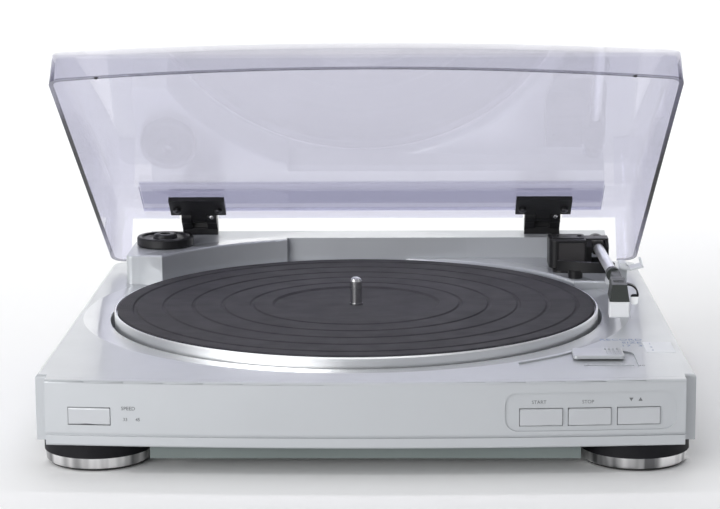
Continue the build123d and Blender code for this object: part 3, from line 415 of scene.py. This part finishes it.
nodeFinish = {
    "bodyLacquer": ["plinth_cover"],
    "silverLacquer": ["fascia"],
    "silverButton": ["start_button", "stop_button", "cue_button", "speed_button", "size_selector"],
    "paleMoulding": ["arm_rest", "arm_clip"],
    "blackMoulding": ["hinge_block_left", "hinge_block_right", "hinge_leaf_left", "hinge_leaf_right",
                      "tonearm_base", "tonearm_yoke", "arm_block", "counterweight", "cartridge", "cue_lifter",
                      "adapter_45"],
    "cupMoulding": eachFoot("foot_cup"),
    "greyMoulding": ["return_lever", "speed_switch"],
    "oliveMoulding": ["headshell"],
    "liftFinish": ["finger_lift"],
    "panLacquer": ["base_pan"],
    "bandChrome": eachFoot("foot_band"),
    "turnedSteel": ["spindle", "case_screws", "hinge_pin_left", "hinge_pin_right", "arm_pins", "motor_shaft",
                    "drive_motor", "power_transformer"],
    "castAlloy": ["platter", "tonearm_tube"],
    "turnedBrass": ["spindle_bearing", "motor_pulley"],
    "softRubber": ["lid_bumpers", "drive_belt", "cord_glands"] + eachFoot("foot_pad"),
    "matRubber": ["slip_mat"],
    "milkyMoulding": ["hub_gear", "cam_gear", "stylus", "stylus_guard"],
    "circuitBoard": ["control_board", "power_board"],
    "smokedCover": ["dust_cover"],
}
for finishName, nodeNames in nodeFinish.items():
    for nodeName in nodeNames:
        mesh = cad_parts[nodeName].data
        mesh.materials.clear()
        mesh.materials.append(finish[finishName])
print("materials on", sum(len(names) for names in nodeFinish.values()), "nodes")


# Piece helpers: shapes are drawn in millimetres and placed by a matrix in metres

def linkObject(name, data):
    item = bpy.data.objects.new(name, data)
    bpy.context.scene.collection.objects.link(item)
    return item


def moveTo(x, y, z):
    return Matrix.Translation(Vector((x, y, z)) * mm)


def turnX(degrees):
    return Matrix.Rotation(math.radians(degrees), 4, "X")


def addMesh(name, build, material, body):
    mesh = bpy.data.meshes.new(name)
    shape = bmesh.new()
    build(shape)
    bmesh.ops.recalc_face_normals(shape, faces=shape.faces)
    shape.to_mesh(mesh)
    shape.free()
    piece = linkObject(name, mesh)
    mesh.materials.append(finish[material])
    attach(piece, body)


def addLoop(shape, points, place):
    return [shape.verts.new(place @ (Vector(point) * mm)) for point in points]


def extrudeOutline(shape, outline, place, depth):
    # outline: (x, y) points, counted anticlockwise; depth runs along its normal
    low = addLoop(shape, [(x, y, 0) for x, y in outline], place)
    high = addLoop(shape, [(x, y, depth) for x, y in outline], place)
    shape.faces.new(low[::-1])
    shape.faces.new(high)
    for n in range(len(outline)):
        m = (n + 1) % len(outline)
        shape.faces.new((low[n], low[m], high[m], high[n]))


def roundedOutline(x0, x1, y0, y1, radius, steps=6):
    points = []
    for cx, cy, start in ((x1 - radius, y1 - radius, 0), (x0 + radius, y1 - radius, 90),
                          (x0 + radius, y0 + radius, 180), (x1 - radius, y0 + radius, 270)):
        for k in range(steps + 1):
            a = math.radians(start + 90 * k / steps)
            points.append((cx + radius * math.cos(a), cy + radius * math.sin(a)))
    return points


def latheProfile(shape, profile, place, steps):
    # profile: (radius, height) points from the axis to the axis
    rings = []
    for r, h in profile:
        turns = [math.tau * k / steps for k in range(steps)] if r else [0]
        rings.append(addLoop(shape, [(r * math.cos(a), r * math.sin(a), h) for a in turns], place))
    for one, two in zip(rings, rings[1:]):
        for k in range(steps):
            n = (k + 1) % steps
            corners = [one[k % len(one)], one[n % len(one)], two[n % len(two)], two[k % len(two)]]
            unique = list(dict.fromkeys(corners))
            if len(unique) > 2:
                shape.faces.new(unique)


legendType = {"capShare": 0.70, "depth": 0.05, "resolution": 3}


def addLegend(name, text, height, place, body, material):
    # height: of a capital letter
    curve = bpy.data.curves.new(name + "Text", "FONT")
    curve.body = text
    curve.size = height * mm / legendType["capShare"]
    curve.align_x = "CENTER"
    curve.align_y = "CENTER"
    curve.extrude = legendType["depth"] * mm / 2
    curve.resolution_u = legendType["resolution"]
    holder = linkObject(name + "Text", curve)
    bpy.context.view_layer.update()
    mesh = bpy.data.meshes.new_from_object(holder.evaluated_get(bpy.context.evaluated_depsgraph_get()))
    bpy.data.objects.remove(holder)
    mesh.transform(place)
    mesh.name = name
    piece = linkObject(name, mesh)
    mesh.materials.clear()
    mesh.materials.append(finish[material])
    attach(piece, body)


# Legends, and painted shadow in the button gaps, on the bowed front

fascia = {"front": -178.5, "bow": 8.2, "half": 173.5, "recess": (75.6, 167.9), "recessDepth": 0.8}


def fasciaPlace(x, z, proud=0.04):
    # a place on the front: local X runs along it, local Y up, local Z out of it
    radius = (fascia["half"] ** 2 + fascia["bow"] ** 2) / (2 * fascia["bow"])
    y = fascia["front"] + radius - math.sqrt(radius ** 2 - x ** 2)
    if fascia["recess"][0] < x < fascia["recess"][1]:
        y += fascia["recessDepth"]
    return moveTo(x, y - proud, z) @ Matrix.Rotation(math.asin(x / radius), 4, "Z") @ turnX(90)


frontLegends = {
    "legendStart": {"text": "START", "x": 93.9, "z": 42.5, "height": 1.9},
    "legendStop": {"text": "STOP", "x": 120.3, "z": 42.4, "height": 1.9},
    "legendSpeed": {"text": "SPEED", "x": -127.5, "z": 38.8, "height": 2.0},
    "legendSpeeds": {"text": "33      45", "x": -125.8, "z": 32.7, "height": 1.8},
}
for name, look in frontLegends.items():
    addLegend(name, look["text"], look["height"], fasciaPlace(look["x"], look["z"]), "chassis", "legendInk")


def buildPaintedButtonGapShadow(shape):
    # painted shadow: a dark sheet sunk in the gap round each button
    look = {"x": (95.0, 121.2, 147.7, -149.0), "z": 34.3, "half": (11.4, 4.7), "gap": (0.09, 0.27),
            "sunk": 0.45, "thick": 0.1}
    for x in look["x"]:
        place = fasciaPlace(x, look["z"], -look["sunk"])
        rings = []
        for extra in look["gap"]:
            w, h = (half + extra for half in look["half"])
            for depth in (0.0, look["thick"]):
                rings.append(addLoop(shape, [(-w, -h, depth), (w, -h, depth), (w, h, depth), (-w, h, depth)], place))
        for one, two in ((0, 1), (1, 3), (3, 2), (2, 0)):
            for n in range(4):
                m = (n + 1) % 4
                shape.faces.new((rings[one][n], rings[one][m], rings[two][m], rings[two][n]))


# a dark sheet that paints the shadow in the button gaps
addMesh("paintedButtonGapShadow", buildPaintedButtonGapShadow, "blackMoulding", "chassis")


def buildCueArrows(shape):
    # one arrow down, one up, over the cue button
    look = {"x": {143.6: -1, 148.6: 1}, "z": 43.4, "half": 1.15, "foot": 0.8, "tip": 0.9, "depth": 0.05}
    for x, way in look["x"].items():
        half, foot, tip = look["half"], look["half"] * look["foot"] * way, look["half"] * look["tip"] * way
        outline = [(-half, -foot), (half, -foot), (0, tip)]
        extrudeOutline(shape, outline if way > 0 else outline[::-1], fasciaPlace(x, look["z"]), look["depth"])


addMesh("legendCueArrows", buildCueArrows, "legendInk", "chassis")
print("front legends done")


# Marks on the deck beside the size selector

def buildDeckPanel(shape):
    look = {"x": (158.7, 175.0), "y": (-106.5, -79.0), "corner": 1.5, "thick": 0.12}
    outline = roundedOutline(*look["x"], *look["y"], look["corner"])
    extrudeOutline(shape, outline, moveTo(0, 0, deckZ), look["thick"])


addMesh("deckPanel", buildDeckPanel, "panelSheet", "chassis")

deckLegends = {
    "deckPanelNumber": {"height": 2.4, "above": 0.14, "ink": "blueInk",
                        "at": {"1": (162.6, -84.5), "2": (162.6, -92.5), "3": (162.6, -100.5)}},
    "deckPrint": {"height": 4.4, "above": 0.02, "ink": "blueInk",
                  "at": {"RECORD": (147.0, -73.0), "SIZE": (152.5, -80.5), "17  30": (153.5, -88.5)}},
    "deckSize": {"height": 2.6, "above": 0.02, "ink": "legendInk",
                 "at": {"30": (152.5, -138.0), "17": (122.0, -138.0)}},
}
for name, look in deckLegends.items():
    for text, (x, y) in look["at"].items():
        addLegend(name + text.title().replace(" ", ""), text, look["height"],
                  moveTo(x, y, deckZ + look["above"]), "chassis", look["ink"])
print("deck marks done")


# Trim on the hinges and on the arm's housing

def buildHingeScrews(shape):
    # screws under the hinge plates, on the open cover
    look = {"from": (-14.0, 14.0), "y": 153.0, "z": 85.45, "slopeDeg": -5.34, "steps": 24,
            "profile": ((0, -0.5), (2.184, -0.5), (2.6, 0.1), (2.08, 0.8), (0.91, 1.0), (0.78, 0.5), (0, 0.45))}
    axis = Vector(hinge["axis"])
    opened = moveTo(*axis) @ turnX(hinge["openDeg"]) @ moveTo(*-axis)
    for x in hinge["x"]:
        for dx in look["from"]:
            place = opened @ moveTo(x + dx, look["y"], look["z"]) @ turnX(180 + look["slopeDeg"])
            latheProfile(shape, look["profile"], place, look["steps"])


addMesh("hingeScrews", buildHingeScrews, "blackSteel", "dust_cover")


def buildBlockCaps(shape):
    # bright caps on the fronts of the hinge blocks, right of their middles
    look = {"dx": 8.6, "y": 162.0, "z": 88.0, "steps": 20,
            "profile": ((0, -0.4), (1.5, -0.4), (1.5, 0.3), (1.1, 0.7), (0, 0.8))}
    for x in hinge["x"]:
        place = moveTo(x + look["dx"], look["y"], look["z"]) @ turnX(90)
        latheProfile(shape, look["profile"], place, look["steps"])


addMesh("hingeBlockCaps", buildBlockCaps, "turnedSteel", "chassis")


def buildBearingTrim(shape):
    # a raised plate with two small caps on top of the arm's housing
    look = {"from": (-20.0, -2.0), "half": (10.5, 8.5), "corner": 2.0, "z": 79.75, "thick": 0.6,
            "capX": (-7.6, 7.6), "capZ": 80.3, "steps": 20,
            "cap": ((0, 0), (1.5, 0), (1.5, 0.5), (1.1, 0.8), (0, 0.8))}
    x, y = armPivot.x + look["from"][0], armPivot.y + look["from"][1]
    w, d = look["half"]
    outline = roundedOutline(x - w, x + w, y - d, y + d, look["corner"])
    extrudeOutline(shape, outline, moveTo(0, 0, look["z"]), look["thick"])
    for dx in look["capX"]:
        latheProfile(shape, look["cap"], moveTo(x + dx, y, look["capZ"]), look["steps"])


addMesh("bearingTrim", buildBearingTrim, "blackMoulding", "tonearm_yoke")


def buildHousingPanel(shape):
    # a lighter sheet let into the front of the housing
    look = {"x": (-26.9, -9.9), "z": (-7.5, 5.0), "y": -14.45, "corner": 1.0, "thick": 0.3}
    outline = roundedOutline(*look["x"], *look["z"], look["corner"])
    place = moveTo(*(armPivot + Vector((0, look["y"], 0)))) @ turnX(90)
    extrudeOutline(shape, outline, place, look["thick"])


addMesh("housingPanel", buildHousingPanel, "panelGrey", "tonearm_yoke")
print("hinge and housing trim done")


# Stage, in metres: pale floor that curves up into a backdrop, soft lights and the camera

def buildSweep():
    look = {"half": 4.0, "front": -2.2, "back": 2.6, "radius": 1.2, "height": 3.4, "steps": 12,
            "colour": (0.93, 0.93, 0.93), "roughness": 0.9, "specular": 0.1}
    points = [(look["front"], 0.0)]
    for k in range(look["steps"] + 1):
        a = math.pi / 2 * k / look["steps"]
        points.append((look["back"] - look["radius"] + look["radius"] * math.sin(a),
                       look["radius"] * (1 - math.cos(a))))
    points.append((look["back"], look["height"]))
    mesh = bpy.data.meshes.new("floorSweep")
    shape = bmesh.new()
    left = [shape.verts.new((-look["half"], y, z)) for y, z in points]
    right = [shape.verts.new((look["half"], y, z)) for y, z in points]
    for k in range(len(points) - 1):
        face = shape.faces.new((left[k], right[k], right[k + 1], left[k + 1]))
        face.smooth = True
    bmesh.ops.recalc_face_normals(shape, faces=shape.faces)
    shape.to_mesh(mesh)
    shape.free()
    sweep = linkObject("floorSweep", mesh)
    paper, _, _, shader = newMaterial("studioPaper")
    shader.inputs["Base Color"].default_value = opaque(look["colour"])
    shader.inputs["Roughness"].default_value = look["roughness"]
    shader.inputs["Specular IOR Level"].default_value = look["specular"]
    mesh.materials.append(paper)


softboxes = {
    "topBox": {"at": (0.1, 0.1, 1.7), "towards": (0, 0.05, 0), "size": (1.8, 1.4), "power": 3},
    "leftBox": {"at": (-1.6, -1.0, 0.9), "towards": (0, 0, 0.05), "size": (1.2, 1.2), "power": 11},
    "rightBox": {"at": (1.5, -0.9, 1.0), "towards": (0, 0, 0.05), "size": (1.0, 1.2), "power": 0.8},
    "frontBox": {"at": (-1.5, -2.1, 0.5), "towards": (0, 0, 0.05), "size": (1.8, 0.8), "power": 36},
    "coverStrip": {"at": (0, -0.92, 1.24), "towards": (0, -0.1, 0.235), "size": (1.7, 0.16), "power": 3},
    "backdropWash": {"at": (0, 1.0, 2.2), "towards": (0, 2.6, 0.9), "size": (3.2, 0.8), "power": 50},
}


def addSoftbox(name, look):
    data = bpy.data.lights.new(name, "AREA")
    data.shape = "RECTANGLE"
    data.size, data.size_y = look["size"]
    data.energy = look["power"]
    lamp = linkObject(name, data)
    lamp.location = look["at"]
    lamp.rotation_euler = (Vector(look["towards"]) - Vector(look["at"])).to_track_quat("-Z", "Y").to_euler()


def addWorld():
    look = {"colour": (0.95, 0.96, 1.0), "strength": 0.34}
    world = bpy.data.worlds.new("studioWorld")
    world.use_nodes = True
    background = world.node_tree.nodes["Background"]
    background.inputs["Color"].default_value = opaque(look["colour"])
    background.inputs["Strength"].default_value = look["strength"]
    bpy.context.scene.world = world
    bpy.context.scene.view_settings.view_transform = "Standard"


def addCamera():
    # place in millimetres, turns in degrees, focal length and width in pixels
    look = {"at": (24.4, -1335.1, 335.4), "yaw": -1.291, "pitch": 10.356, "roll": -0.355,
            "focal": 2220.6, "width": 720, "sensor": 36, "far": 20}
    yaw, pitch, roll = (math.radians(look[key]) for key in ("yaw", "pitch", "roll"))
    ahead = Vector((math.sin(yaw) * math.cos(pitch), math.cos(yaw) * math.cos(pitch), -math.sin(pitch)))
    side = Vector((math.cos(yaw), -math.sin(yaw), 0))
    upward = side.cross(ahead)
    right = side * math.cos(roll) + upward * math.sin(roll)
    above = -side * math.sin(roll) + upward * math.cos(roll)
    data = bpy.data.cameras.new("photoCamera")
    data.sensor_width = look["sensor"]
    data.lens = look["sensor"] * look["focal"] / look["width"]
    data.clip_end = look["far"]
    camera = linkObject("photoCamera", data)
    camera.matrix_world = moveTo(*look["at"]) @ Matrix((right, above, -ahead)).transposed().to_4x4()
    bpy.context.scene.camera = camera


buildSweep()
for name, look in softboxes.items():
    addSoftbox(name, look)
addWorld()
addCamera()
print("stage and camera done")
